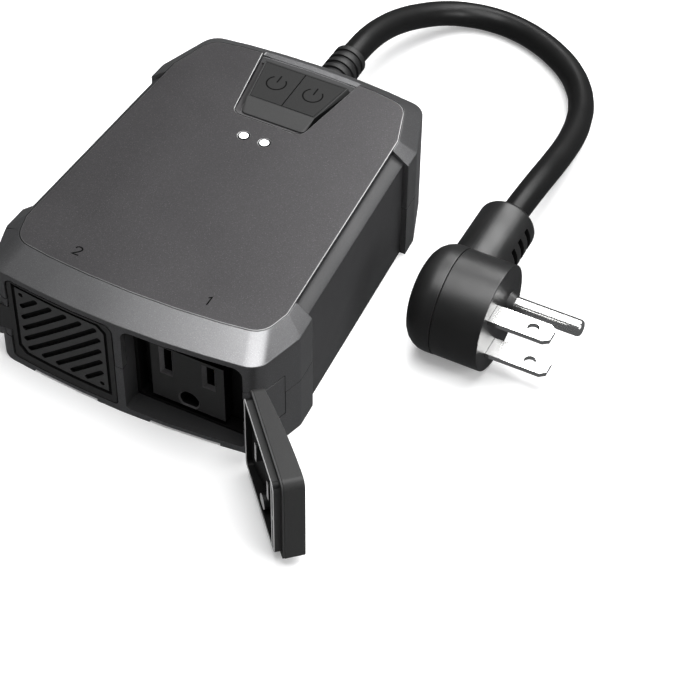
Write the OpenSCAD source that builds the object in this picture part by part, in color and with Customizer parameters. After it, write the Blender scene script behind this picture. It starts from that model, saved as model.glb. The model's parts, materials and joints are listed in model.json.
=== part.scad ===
// Outdoor dual-outlet smart plug: weatherproof housing, two hinged outlet doors,
// two sprung keys, a short cord and a right-angle three-prong plug.
// Origin: centre of the housing's base. +Z up, the outlets face -Y, the cord leaves at +Y.

/* [Housing] */
// Width across the front bezel
front_w = 88; // [87:0.5:89]
// Width across the rear bezel
rear_w = 80.6; // [80:0.2:81.4]
// Front of the housing, measured from the origin
front_y = 57.3; // [57:0.1:57.6]
// Rear of the housing, measured from the origin
rear_y = 57; // [56.8:0.1:57.4]
// Height to the top of the plate
body_h = 37.6; // [37.4:0.1:38.2]
// Height of the joint between the upper and lower housing
part_z = 17.5; // [17:0.1:18]
// Wall thickness of the two shells
wall = 2; // [1.9:0.1:2.1]
// Thickness of the painted bezels
bezel_t = 1.7; // [1.6:0.1:1.8]
// Thickness of the top plate
plate_t = 1.6; // [1.5:0.1:1.7]
// Distance of the front bezel's rear edge from the middle
bezel_y = 32; // [31:0.5:33]
// Distance of the rear bezel's front edge from the middle
rear_bezel_y = 30.5; // [30:0.5:32]

/* [Outlets and doors] */
// Distance of each door opening's centre from the middle
opening_x = 18.3; // [18.2:0.1:18.4]
// Width of a door opening
opening_w = 34.2; // [34:0.1:34.4]
// Height of a door opening
opening_h = 29.8; // [29.6:0.1:30]
// Distance of each outlet's centre from the middle
outlet_x = 17.2; // [17:0.1:17.4]
// Height of the two flat slots
slot_z = 19.7; // [19.5:0.1:19.9]
// How far door 1 stands open
door_open = 132; // [120:1:133]
// Gap round a door
door_gap = 0.3; // [0.25:0.05:0.35]

/* [Keys and lights] */
// Travel of a key
key_travel = 0.5; // [0.3:0.1:0.5]
// Distance of a light pipe from the middle
light_x = 3.2; // [3:0.1:3.4]
// Radius of a light pipe
light_r = 1.6; // [1.4:0.1:1.7]

/* [Cord and plug] */
// Cord diameter
cord_d = 7.8; // [7.6:0.1:8]
// Radius of the plug's round face
plug_r = 15.1; // [15:0.1:15.2]
// Length of a blade beyond the face
blade_len = 17.1; // [16.5:0.1:17.9]
// Length of the ground pin beyond the face
ground_len = 21.3; // [20.5:0.1:21.4]

/* [Hidden] */
$fn = 48;
eps = 0.01;

housing_grey = "#4b4b4d";
panel_black = "#2b2b2c";
part_black = "#1a1a1b";
rubber_black = "#161617";
pin_metal = "#c9c9c4";
brass = "#c9a24a";
board_green = "#1f5a38";

// Heights
crease_z = body_h - 3.9;
deck_z = body_h - plate_t;
deck_t = 2.2;
opening_z = 17.1;
opening_r = 2.8;
lower_r = 1.2;
inner_top = deck_z - deck_t;
floor_t = 2.2;

// How far the top plate's edge lies inside the widest outline, at the sides, front and rear
plate_in = [4.9, 8.7, 5.8];
// How far the shells lie inside the bezels
shell_in = [bezel_t, bezel_t + 0.5, bezel_t + 0.5];
// The shells' inner wall
cavity_in = [bezel_t + wall, bezel_t + 0.5 + wall, bezel_t + 0.5 + wall];

// Hinges, where the door's own pin stands in the front corner
hinge = [38.7, -53.8];
hinge_z = [9.6, 23.8];
knuckle_z = [12.4, 21.0];
knuckle_r = 1.4;
ear_r = 3.5;
hinge_pin_r = 0.7;
run_gap = 0.05;
seam = 0.2;
seam_depth = 1;

// Door sections
door_w = opening_w - 2 * door_gap;
door_h = opening_h - 2 * door_gap;
door_z = opening_z - door_h / 2;
door_back = -51.9;
rim_in = 1.5;
rim_t = 0.8;
rim_end = -49.5;
rail_gap = 1.1;
inside = -40;
skin_t = 1.3;
grille_t = 0.9;
guard_depth = skin_t + grille_t + 0.6;
guard_t = 1;
plug_depth = 1.6;

// Standard outlet: spacing of the flat blades, and from their line to the ground pin
blade_pitch = 12.7;
ground_drop = 11.9;

// Outlet tub and its raised face
tub_y = [-51.2, -45.6];
tub_floor_y = -47.2;
tub_t = 1.1;
tub_gap = 0.2;
face_y = -51.5;
face_w = 21.8;
face_z = [5.2, 25.1];
block_y = -31;
ground_z = slot_z - ground_drop;

// Contacts behind the outlets
leaf_t = 0.6;
leaf_y = -46.5;
clip_half = 2.8;
clip_z = [16.4, 22.8];
ground_leaf_z = [6.2, 11];

// Keypad
notch_y = [24.3, 51.4];
notch_half = [10.6, 15.3];
keypad_y = [27.4, 48.2];
keypad_half = [9.9, 13.7];
notch_r = 2.6;
keypad_r = 1.6;
keypad_z = [35.1, 37.3];
key_y = [33, 47.6];
key_half = [10, 12.6];
key_gap = 0.25;
divider_half = 0.3;
plunger_x = 5.8;
plunger_y = 41;
plunger_r = 1.8;
switch_top = 32.9;
key_board_z = 29.3;
light_y = 17.1;

// Screws
case_posts = [[34.4, -22], [-34.4, -22], [29.8, 43], [-29.8, 43]];
post_r = 3.6;
screw_r = 1.5;
head_r = 2.7;
screw_seat = 9;
post_top = 12;
board_posts = [[28, -19], [-28, -19], [26, 32], [-26, 32]];
board_z = 6.2;
board_t = 1.6;
board_top = board_z + board_t;
key_posts = [[0, 14], [0, 45.4]];

// Cord exit, plug position and plug parts
exit_x = -2.5;
exit_z = 17.5;
relief_r = [5.7, 5.1];
relief_len = 24;
relief_y = rear_y - 0.2;
relief_rib = [2.9, 1.3];
flange_r = 8;
wire_r = 1.1;
plug_x = [57, 66, 79.8];
plug_y = 6.4;
plug_z = 15.2;
boss_x = 66.9;
boss_r = [8.6, 8.4];
boss_end = 41.2;
boss_round = 1.5;
blade_y = 1.2;
blade_w = 6.35;
blade_t = 1.5;
blade_hole_r = 1.7;
ground_r = 2.4;
shank_r = 2.1;

// The cord's route: out of the strain relief, down to the floor, round, and up to the plug
route = [
    [-2.5, 49, 17.5], [-2.5, 58, 17.5], [-2.5, 67, 17.5], [-2.6, 76, 17.5], [-2.5, 85, 17.3],
    [-2.3, 93.5, 16.3], [-1.4, 102.2, 14.4], [0.5, 110.7, 11.9], [3.6, 118.6, 9.2], [8.1, 125.5, 6.8],
    [14.3, 130.4, 5], [22.1, 132.6, 4.2], [30.4, 132.2, 4], [38.5, 129.8, 4], [46, 126, 4],
    [52.5, 121.1, 4.1], [58, 114.6, 4.5], [62, 107.1, 5.3], [64.7, 98.5, 6.6], [66.3, 89.9, 8.3],
    [67.1, 81, 10.2], [67.4, 72, 12.1], [67.4, 63, 13.8], [67.2, 54.5, 14.8], [66.9, 46, 15.2], [66.9, 37, 15.2]
];

function unit(v) = v / norm(v);

// An arc that rounds the corner p between a and b with radius r
function rounded_corner(a, p, b, r, n = 6) =
    let (
        da = unit(a - p),
        db = unit(b - p),
        half = acos(da * db) / 2,
        centre = p + unit(da + db) * r / sin(half),
        v0 = p + da * r / tan(half) - centre,
        v1 = p + db * r / tan(half) - centre,
        turn = 180 - 2 * half
    )
    [for (i = [0:n]) centre + (v0 * sin(turn * (1 - i / n)) + v1 * sin(turn * i / n)) / sin(turn)];

// A closed outline from corners [x, y, radius]
function rounded_outline(c) = [
    for (i = [0:len(c) - 1])
        let (
            p = [c[i].x, c[i].y],
            a = c[(i + len(c) - 1) % len(c)],
            b = c[(i + 1) % len(c)]
        )
        each (c[i][2] > 0 ? rounded_corner([a.x, a.y], p, [b.x, b.y], c[i][2]) : [p])
];

// Right half of the housing's outline from front to rear, moved in by [side, front, rear]
function half_corners(in) =
    let (fy = -front_y + in[1], ry = rear_y - in[2], fx = front_w / 2 - in[0], rx = rear_w / 2 - in[0])
    [
        [0, fy, 0],
        [13, fy + 0.35, 0],
        [25, fy + 1.25, 0],
        [front_w / 2 - 4.4 - 0.6 * in[0], fy + 2.9, 6],
        [fx, -39.5 + 0.3 * in[1], 4],
        [rx, 36.5 - 0.3 * in[2], 4],
        [rear_w / 2 - 6.5 - 0.6 * in[0], ry - 2.6, 6],
        [22, ry - 1.1, 0],
        [11, ry - 0.3, 0]
    ];

function body_outline(in) =
    let (h = half_corners(in), n = len(h))
    rounded_outline(concat(
        h,
        [[0, rear_y - in[2], 0]],
        [for (i = [n - 1:-1:1]) [-h[i].x, h[i].y, h[i][2]]]
    ));

// Front surface of the housing at a distance x from the middle
function bow_y(x) = -front_y + 2.65 * pow(abs(x) / 35, 2);

// Range from a to b round a centre
function span(centre, a, b) = [centre + a, centre + b];

// Outline that widens from the front to the rear, with rounded front corners
function trapezoid(half, y, r = 0) =
    rounded_outline([[-half[0], y[0], r], [half[0], y[0], r], [half[1], y[1], 0], [-half[1], y[1], 0]]);

module bar(x, y, z) {
    translate([x[0], y[0], z[0]]) cube([x[1] - x[0], y[1] - y[0], z[1] - z[0]]);
}

// Upright prism on an outline, between two heights
module prism(points, z) {
    translate([0, 0, z[0]]) linear_extrude(z[1] - z[0]) polygon(points);
}

module rod(p, r, z, fn = 48) {
    translate([p.x, p.y, z[0]]) cylinder(r = r, h = z[1] - z[0], $fn = fn);
}

// Rod along Y
module rod_y(x, z, r, y, r2 = undef) {
    translate([x, y[0], z]) rotate([-90, 0, 0]) cylinder(r1 = r, r2 = is_undef(r2) ? r : r2, h = y[1] - y[0]);
}

// Rod along X
module rod_x(y, z, r, x) {
    translate([x[0], y, z]) rotate([0, 90, 0]) cylinder(r = r, h = x[1] - x[0]);
}

// Chamfered block: straight to the crease, then sloping in to the top
module chamfered_block(in, top_in, z, top) {
    hull() {
        prism(body_outline(in), z);
        prism(body_outline(top_in), [top - eps, top]);
    }
}

module outer_block() {
    chamfered_block([0, 0, 0], plate_in, [part_z, crease_z], body_h);
}

module core_block(z0) {
    chamfered_block(shell_in, plate_in + [0.2, 0.2, 0.2], [z0, crease_z], deck_z);
}

// Opening through the front wall, for door and tub, with well rounded upper corners
module front_opening(x, w, h, y, r = opening_r) {
    x0 = x - w / 2;
    z = span(opening_z, -h / 2, h / 2);
    for (x = [x0 + r, x0 + w - r])
        rod_y(x, z[1] - r, r, y);
    for (x = [x0 + lower_r, x0 + w - lower_r])
        rod_y(x, z[0] + lower_r, lower_r, y);
    bar([x0 + r, x0 + w - r], y, [z[0] + lower_r, z[1]]);
    bar([x0, x0 + w], y, [z[0] + lower_r, z[1] - r]);
    bar([x0 + lower_r, x0 + w - lower_r], y, [z[0], z[0] + lower_r + eps]);
}

module both_sides() {
    children();
    mirror([1, 0, 0]) children();
}

// Space for a hinge in the right front corner
module hinge_pocket(gap) {
    prism([
        [opening_x + opening_w / 2 - 0.4, -60], [47, -60], [47, -45 + gap], [38.7 - gap, -45 + gap],
        [36.2 - gap, -50.4 + gap], [opening_x + opening_w / 2 - 0.4, -50.4 + gap]
    ], [hinge_z[0] - gap, hinge_z[1] + gap]);
}

// The same space with a seam round the bracket's outer edge
module hinge_seat() {
    hinge_pocket(0);
    difference() {
        hinge_pocket(seam);
        prism(body_outline([seam_depth, seam_depth, seam_depth]), [0, body_h]);
    }
}

// Rib that fills the space between the two door openings, as deep as the tubs
module centre_rib(z) {
    half = opening_x - opening_w / 2;
    bar([-half, half], [-front_y + cavity_in[1] - 1, tub_y[1]], z);
}

module front_cuts() {
    both_sides() {
        front_opening(opening_x, opening_w, opening_h, [-60, -49]);
        front_opening(opening_x, opening_w - tub_gap, opening_h - tub_gap, [-52, -44]);
        hinge_seat();
    }
}

module cord_exit(r) {
    rod_y(exit_x, exit_z, r, [45, 60]);
}

// ---- Housing ----

module lower_shell() {
    color(panel_black) difference() {
        union() {
            difference() {
                union() {
                    prism(body_outline(shell_in), [0, part_z]);
                    intersection() {
                        prism(body_outline([0, 0, 0]), [0, part_z]);
                        union() {
                            bar([-50, 50], [-60, -bezel_y], [0, part_z]);
                            bar([-50, 50], [rear_bezel_y, 60], [0, part_z]);
                        }
                    }
                }
                prism(body_outline(cavity_in), [floor_t, part_z + 1]);
            }
            centre_rib([floor_t - eps, part_z]);
            for (p = case_posts)
                rod(p, post_r, [0, post_top]);
            for (p = board_posts)
                rod(p, 2.6, [floor_t - eps, board_z]);
        }
        for (p = case_posts) {
            rod(p, head_r + 0.3, [-1, screw_seat]);
            rod(p, screw_r + 0.2, [0, post_top + 1]);
        }
        for (p = board_posts)
            rod(p, 1.1, [floor_t, board_z + 1]);
        front_cuts();
        seal_groove(0);
        cord_exit(relief_r[0] + 0.05);
        both_sides()
            bar([opening_x - 10.3, opening_x + 10.3], [-60, bow_y(opening_x + 10) + 0.9], [-1, 0.9]);
    }
}

// Groove or seal that runs round the joint, leaving the cord's exit and the tubs free
module seal_groove(gap) {
    difference() {
        prism(body_outline(shell_in + [0.7, 0.7, 0.7]), [part_z - 0.8 + gap, part_z]);
        prism(body_outline(shell_in + [1.4, 1.4, 1.4]), [part_z - 2, part_z + 1]);
        bar([-50, 50], [-60, -43], [part_z - 2, part_z + 1]);
        bar([exit_x - 9, exit_x + 9], [45, 60], [part_z - 2, part_z + 1]);
    }
}

module shell_seal() {
    color(rubber_black) seal_groove(0);
}

module upper_shell() {
    color(panel_black) difference() {
        union() {
            difference() {
                core_block(part_z);
                prism(body_outline(cavity_in), [part_z - 1, crease_z - 3]);
                prism(body_outline(cavity_in + [3, 4, 3]), [crease_z - 4, inner_top]);
            }
            centre_rib([part_z, inner_top + eps]);
            for (p = case_posts)
                rod(p, post_r, [post_top, inner_top + eps]);
            for (p = key_posts)
                rod(p, 2, [key_board_z + 1.2, inner_top + eps]);
            difference() {
                prism(
                    trapezoid(notch_half - [0.1, 0.1], notch_y + [0.1, 0.2], notch_r),
                    [deck_z - eps, body_h - 0.05]
                );
                bar([-20, 20], [keypad_y[1], 60], [deck_z - 1, body_h]);
            }
        }
        hull() {
            prism(
                trapezoid(keypad_half + [0.3, 0.3], keypad_y + [-0.3, 0], keypad_r),
                [keypad_z[0], keypad_z[0] + eps]
            );
            prism(trapezoid(notch_half, [notch_y[0] + 0.2, keypad_y[1]], notch_r), [body_h, body_h + 1]);
        }
        for (x = [-plunger_x, plunger_x])
            rod([x, plunger_y], plunger_r + 0.4, [30, 40]);
        for (x = [-light_x, light_x])
            rod([x, light_y], light_r + 0.02, [30, 40]);
        for (p = case_posts)
            rod(p, screw_r, [post_top - 1, post_top + 10]);
        for (p = key_posts)
            rod(p, 0.8, [key_board_z, key_board_z + 4.4]);
        front_cuts();
        cord_exit(relief_r[0] + 0.05);
    }
}

module bezel(y) {
    difference() {
        intersection() {
            outer_block();
            bar([-50, 50], y, [part_z, body_h]);
        }
        core_block(part_z - 1);
        prism(body_outline(plate_in), [deck_z, body_h + 1]);
        prism(body_outline(plate_in + [0.2, 0.2, 0.2]), [deck_z - 1, body_h + 1]);
    }
}

module front_bezel() {
    color(housing_grey) difference() {
        bezel([-60, -bezel_y]);
        front_cuts();
    }
}

module rear_bezel() {
    color(housing_grey) difference() {
        bezel([rear_bezel_y, 60]);
        bar([-notch_half[1], notch_half[1]], [45, 60], [deck_z + 0.2, body_h + 1]);
        cord_exit(relief_r[0] + 0.05);
    }
}

module top_plate() {
    color(housing_grey) difference() {
        prism(body_outline(plate_in + [0.1, 0.1, 0.1]), [deck_z, body_h]);
        prism(trapezoid(notch_half, notch_y, notch_r), [deck_z - 1, body_h + 1]);
        for (x = [-light_x, light_x])
            rod([x, light_y], light_r + 0.02, [30, 40]);
    }
}

module case_screws() {
    color(pin_metal) for (p = case_posts) difference() {
        union() {
            rod(p, screw_r, [screw_seat, screw_seat + 12]);
            rod(p, head_r, [screw_seat - 1.9, screw_seat]);
        }
        rod(p, 1.2, [screw_seat - 3, screw_seat - 0.8], 6);
    }
}

// ---- Keys and lights ----

module keypad() {
    color(rubber_black) difference() {
        hull() {
            prism(trapezoid(keypad_half, keypad_y, keypad_r), [keypad_z[0], keypad_z[0] + 0.5]);
            prism(
                trapezoid(key_half + [0.5, 0.5], [key_y[0] - 0.4, keypad_y[1]]),
                [keypad_z[1] - eps, keypad_z[1]]
            );
        }
        prism(trapezoid(key_half, key_y), [keypad_z[0] + 0.4, keypad_z[1] + 1]);
        for (x = [-plunger_x, plunger_x])
            rod([x, plunger_y], plunger_r + 0.3, [keypad_z[0] - 1, keypad_z[1]]);
    }
}

// Key on one side: side is -1 for key 1 and 1 for key 2
module key(side) {
    color(part_black) {
        difference() {
            prism(trapezoid(key_half - [key_gap, key_gap], key_y + [key_gap, -key_gap]), [36.1, keypad_z[1]]);
            bar(side > 0 ? [-20, divider_half / 2] : [-divider_half / 2, 20], [20, 60], [35, 40]);
        }
        rod([side * plunger_x, plunger_y], plunger_r, [switch_top + key_travel + 0.03, 36.2]);
    }
}

module button_1() {
    key(1);
}

module button_2() {
    key(-1);
}

module light_pipe(x) {
    color("white") rod([x, light_y], light_r, [32.2, body_h]);
}

module light_pipe_1() {
    light_pipe(light_x);
}

module light_pipe_2() {
    light_pipe(-light_x);
}

// ---- Outlets ----

// Flat slot through the raised face, with a sloping lead-in
module blade_slot(x, h) {
    bar([x - 1.1, x + 1.1], [-60, -40], [slot_z - h / 2, slot_z + h / 2]);
    bar([x - 2.1, x + 2.1], [tub_floor_y, block_y + 1], [slot_z - 4.1, slot_z + 4]);
}

module ground_slot() {
    intersection() {
        rod_y(0, ground_z, 2.8, [-60, -40]);
        bar([-3, 3], [-60, -40], [ground_z - 2.1, ground_z + 3]);
    }
    bar([-3.4, 3.4], [tub_floor_y, block_y + 1], [ground_z - 1.9, ground_z + 3.6]);
}

// Tub that lines the door opening, with its raised face and the block behind it
module receptacle(side) {
    color(part_black) difference() {
        union() {
            difference() {
                front_opening(side * opening_x, opening_w - tub_gap, opening_h - tub_gap, tub_y);
                front_opening(
                    side * opening_x, opening_w - 2 * tub_t, opening_h - 2 * tub_t,
                    [-60, tub_floor_y], opening_r - tub_t
                );
            }
            translate([side * outlet_x, 0, 0]) {
                bar([-face_w / 2, face_w / 2], [face_y, block_y], face_z);
                bar([-face_w / 2, face_w / 2], [tub_floor_y, tub_y[1]], [3, face_z[1]]);
            }
        }
        translate([side * outlet_x, 0, 0]) {
            blade_slot(-blade_pitch / 2, 8.3);
            blade_slot(blade_pitch / 2, 6.9);
            ground_slot();
        }
        mirror([side < 0 ? 1 : 0, 0, 0]) hinge_pocket(0);
    }
}

module receptacle_1() {
    receptacle(1);
}

module receptacle_2() {
    receptacle(-1);
}

// Spring clip: two leaves that grip a blade, on a base plate behind the outlet
module clip(x) {
    for (s = [-1, 1])
        bar([x + s * 1.15 - leaf_t / 2, x + s * 1.15 + leaf_t / 2], [leaf_y, block_y + eps], clip_z);
    bar([x - clip_half, x + clip_half], [block_y, block_y + leaf_t], clip_z);
}

module line_contact(x) {
    color(brass) {
        clip(x);
        bar([x - 1.5, x + 1.5], [block_y, block_y + 4], [clip_z[0], clip_z[0] + leaf_t]);
    }
}

module line_contact_1() {
    line_contact(outlet_x + blade_pitch / 2);
}

module line_contact_2() {
    line_contact(-outlet_x + blade_pitch / 2);
}

module neutral_bus() {
    x = [-outlet_x - blade_pitch / 2, outlet_x - blade_pitch / 2];
    bus_z = [clip_z[1] + 1.2, clip_z[1] + 5];
    color(brass) {
        bar([x[0] - clip_half, x[1] + clip_half], [block_y, block_y + leaf_t], bus_z);
        for (xi = x) {
            clip(xi);
            bar(
                span(xi, -clip_half, clip_half), [block_y, block_y + leaf_t],
                [clip_z[1] - eps, bus_z[0] + eps]
            );
        }
    }
}

module ground_bus() {
    color(brass) {
        bar([-outlet_x - 4.4, outlet_x + 4.4], [block_y, block_y + leaf_t], ground_leaf_z);
        for (x = [-outlet_x, outlet_x], s = [-1, 1])
            bar([x + s * 2.7 - leaf_t / 2, x + s * 2.7 + leaf_t / 2], [leaf_y, block_y + eps], ground_leaf_z);
    }
}

// ---- Doors, drawn closed on the right side ----

// Plan of a slice of the door, from a depth behind the bowed front to a flat back
function door_slice(depth, back) = concat(
    [for (i = [0:bow_n]) [bow_x(i), bow_y(bow_x(i)) + depth]],
    [[bow_x(bow_n), back], [bow_x(0), back]]
);

// Stations along the bow
bow_n = 8;
function bow_x(i) = opening_x + door_w * (i / bow_n - 0.5);

door_x = [opening_x - door_w / 2, opening_x + door_w / 2 - 0.2];
rail_x = door_x[0] + rim_in + 2 * rim_t + rail_gap;
grille_x = [door_x[0] + 2.4, door_x[1] - 2.6];
grille_z = [door_z + 3.6, door_z + door_h - 1.5];
grille_cut = 2.2;
slot_r = 0.72;
slot_pitch = 3.12;
slot_slant = 41.5;
slot_margin = 1.2;

module door_slab(inset, depth, back, r) {
    intersection() {
        prism(door_slice(depth, back), [door_z, door_z + door_h]);
        bar(door_x, [-65, inside], [door_z, door_z + door_h]);
        front_opening(opening_x, door_w - 2 * inset, door_h - 2 * inset, [-65, inside], r);
    }
}

// Panel with two cut corners, between two depths behind the bowed front
module grille_area(gap, d) {
    x = grille_x + [-gap, gap];
    z = grille_z + [-gap, gap];
    intersection() {
        difference() {
            prism(door_slice(d[0], inside), [z[0] - 1, z[1] + 1]);
            prism(door_slice(d[1], inside + 1), [z[0] - 2, z[1] + 2]);
        }
        translate([0, -40, 0]) rotate([90, 0, 0]) linear_extrude(25) polygon([
            [x[0] + grille_cut, z[1]], [x[1], z[1]], [x[1], z[0] + grille_cut],
            [x[1] - grille_cut, z[0]], [x[0], z[0]], [x[0], z[1] - grille_cut]
        ]);
    }
}

module door_cover() {
    difference() {
        union() {
            difference() {
                union() {
                    door_slab(0, 0, door_back, opening_r - door_gap);
                    door_slab(rim_in, skin_t, rim_end, 2);
                }
                door_slab(rim_in + rim_t, guard_depth, inside, 1.4);
            }
            intersection() {
                door_slab(rim_in + 0.2, skin_t, rim_end, 1.8);
                union() {
                    bar(span(rail_x, -rim_t, 0), [-60, inside], [0, 40]);
                    bar([door_x[0], rail_x], [-60, inside], span(opening_z, -0.4, 0.4));
                }
            }
            prism([
                [door_x[1] - 1, bow_y(door_x[1])], [hinge.x, hinge.y - knuckle_r],
                [hinge.x, hinge.y + knuckle_r], [door_x[1], door_back], [door_x[1] - 1, door_back]
            ], knuckle_z);
            rod(hinge, knuckle_r, knuckle_z);
        }
        grille_area(0.9, [-1, 0.5]);
        grille_area(0, [-1, grille_t]);
        rod(hinge, hinge_pin_r + run_gap, [0, 40]);
    }
}

// Panel with slanting slots
module grille() {
    difference() {
        grille_area(-0.05, [0.15, grille_t]);
        translate([(grille_x[0] + grille_x[1]) / 2, 0, (grille_z[0] + grille_z[1]) / 2])
            rotate([0, slot_slant, 0])
                for (i = [-5:5])
                    slot(slot_reach(i), i * slot_pitch);
    }
}

// Slot with round ends, or a round hole where both ends meet
module slot(ends, z) {
    x = ends[1] > ends[0] + slot_r ? ends : [for (i = [0, 1]) (ends[0] + ends[1]) / 2];
    bar(x, [-60, -50], span(z, -slot_r, slot_r));
    for (xi = x)
        rod_y(xi, z, slot_r, [-60, -50]);
}

// Both ends of slot i along the slant, which stay inside the panel's margin
function slot_reach(i) =
    let (
        m = slot_margin + slot_r,
        w = (grille_x[1] - grille_x[0]) / 2 - m,
        h = (grille_z[1] - grille_z[0]) / 2 - m,
        corner = w + h - grille_cut + m * (2 - sqrt(2)),
        c = cos(slot_slant),
        n = sin(slot_slant),
        d = i * slot_pitch
    )
    [
        max((-w - d * n) / c, (-h + d * c) / n, (-corner - d * (n - c)) / (n + c)),
        min((w - d * n) / c, (h + d * c) / n, (corner - d * (n - c)) / (n + c))
    ];

// Soft ring round the rim, which meets the tub's front edge
module gasket() {
    difference() {
        door_slab(0.1, 0, tub_y[0] - 0.2, opening_r - door_gap);
        door_slab(-1, -1, door_back, opening_r);
        door_slab(rim_in, -1, inside, 2);
    }
}

// Where a plug starts inside the guard's plate
function plug_start(x) = bow_y(x) + guard_depth + guard_t / 2;

// Soft plate with two blade-shaped plugs and a round one that close the slots
module guard() {
    difference() {
        door_slab(rim_in + rim_t, guard_depth, inside, 1.4);
        prism(door_slice(guard_depth + guard_t, inside + 1), [0, 40]);
        bar([door_x[0], rail_x + 0.1], [-60, inside], [0, 40]);
    }
    for (x = span(outlet_x, -blade_pitch / 2, blade_pitch / 2))
        bar(span(x, -0.75, 0.75), [plug_start(x), face_y + plug_depth], span(slot_z, -3, 3));
    intersection() {
        rod_y(outlet_x, ground_z, 2.2, [plug_start(outlet_x), face_y + plug_depth]);
        bar(span(outlet_x, -3, 3), [-60, -40], span(ground_z, -1.6, 3));
    }
}

// Hinge bracket fixed in the corner, with its two outer knuckles
module bracket() {
    difference() {
        union() {
            intersection() {
                difference() {
                    prism(body_outline([0, 0, 0]), hinge_z);
                    prism(body_outline([3.4, 3.4, 3.4]), [0, 40]);
                }
                prism([
                    [hinge.x, hinge.y], [42, -56], [47, -52], [47, -45],
                    [38.7, -45], [37, -49], [37, hinge.y + 1]
                ], hinge_z);
            }
            for (z = [[hinge_z[0], knuckle_z[0] - 0.15], [knuckle_z[1] + 0.15, hinge_z[1]]]) {
                rod(hinge, knuckle_r, z);
                intersection() {
                    rod(hinge, ear_r, z);
                    prism(body_outline([0, 0, 0]), z);
                }
            }
        }
        rod(hinge, knuckle_r + 0.3, knuckle_z + [-0.15, 0.15]);
        bar(span(hinge.x, -3, 0), span(hinge.y, -3, 2), knuckle_z + [-0.15, 0.15]);
        rod(hinge, hinge_pin_r, [0, 40]);
    }
}

module pin() {
    rod(hinge, hinge_pin_r, [hinge_z[0] + 0.2, hinge_z[1] - 0.2]);
}

// Turns a right-hand door piece about its hinge to its rest position
module opened(angle) {
    translate([hinge.x, hinge.y, 0]) rotate([0, 0, angle]) translate([-hinge.x, -hinge.y, 0]) children();
}

module door_1() {
    color(panel_black) opened(door_open) door_cover();
}

module door_2() {
    color(panel_black) mirror([1, 0, 0]) door_cover();
}

module door_grille_1() {
    color(panel_black) opened(door_open) grille();
}

module door_grille_2() {
    color(panel_black) mirror([1, 0, 0]) grille();
}

module door_gasket_1() {
    color("dimgray") opened(door_open) gasket();
}

module door_gasket_2() {
    color("dimgray") mirror([1, 0, 0]) gasket();
}

module blade_guard_1() {
    color(rubber_black) opened(door_open) guard();
}

// The guard's plugs are alike, so the mirrored one fits outlet 2
module blade_guard_2() {
    color(rubber_black) mirror([1, 0, 0]) guard();
}

module hinge_bracket_1() {
    color(housing_grey) bracket();
}

module hinge_bracket_2() {
    color(housing_grey) mirror([1, 0, 0]) bracket();
}

module hinge_pin_1() {
    color(pin_metal) pin();
}

module hinge_pin_2() {
    color(pin_metal) mirror([1, 0, 0]) pin();
}

// ---- Electronics ----

module circuit_board() {
    color(board_green) difference() {
        bar([-30.4, 30.4], [-25, 38], [board_z, board_top]);
        for (p = board_posts)
            rod(p, 1.3, [0, 20]);
    }
}

module board_screws() {
    color(pin_metal) for (p = board_posts) {
        rod(p, 1.1, [board_z - 3.6, board_top + eps]);
        rod(p, 2, [board_top, board_top + 1.4]);
    }
}

module relay(x) {
    color("#2d4f9e") bar([x - 7.8, x + 7.8], [-23, -4], [board_top, board_top + 15.4]);
}

module relay_1() {
    relay(14);
}

module relay_2() {
    relay(-14);
}

module transformer() {
    color("#d8c23a") {
        bar([-26, -10], [8, 26], [board_top, board_top + 3]);
        bar([-24.5, -11.5], [11, 23], [board_top + 3 - eps, board_top + 14]);
        bar([-26, -10], [8, 26], [board_top + 14 - eps, board_top + 16.5]);
    }
}

module bulk_capacitor() {
    color("#1c2d5a") rod([20, 20], 5, [board_top, board_top + 16]);
}

module filter_capacitor() {
    color("#d1b62c") bar([8, 25], [4, 11], [board_top, board_top + 12]);
}

module fuse() {
    color("#3a3a3a") rod([2, 4], 4.2, [board_top, board_top + 7.6]);
}

module wireless_module() {
    color("#9aa0a3") {
        bar([-29, -13], [-1, 6], [board_top, board_top + 0.8]);
        bar([-28, -17], [-0.6, 5.6], [board_top + 0.8 - eps, board_top + 3]);
    }
}

module terminal_block() {
    color("#2f7d46") bar([-10, 5], [28, 36.5], [board_top, board_top + 8.4]);
}

module key_board() {
    color(board_green) difference() {
        bar([-12, 12], [10, 48], [key_board_z, key_board_z + 1.2]);
        for (p = key_posts)
            rod(p, 1, [20, 40]);
    }
}

module key_board_screws() {
    color(pin_metal) for (p = key_posts) {
        rod(p, 0.8, [key_board_z - eps, key_board_z + 4.2]);
        rod(p, 1.7, [key_board_z - 1.2, key_board_z]);
    }
}

module tact_switch(x) {
    color("#3b3b3b") {
        bar([x - 3, x + 3], [plunger_y - 3, plunger_y + 3], [key_board_z + 1.2, key_board_z + 2.8]);
        rod([x, plunger_y], 1.6, [key_board_z + 2.8 - eps, switch_top]);
    }
}

module tact_switch_1() {
    tact_switch(plunger_x);
}

module tact_switch_2() {
    tact_switch(-plunger_x);
}

module status_leds() {
    color("white") for (x = [-light_x, light_x])
        bar([x - 1.4, x + 1.4], [light_y - 0.8, light_y + 0.8], [key_board_z + 1.2, key_board_z + 2.3]);
}

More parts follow.
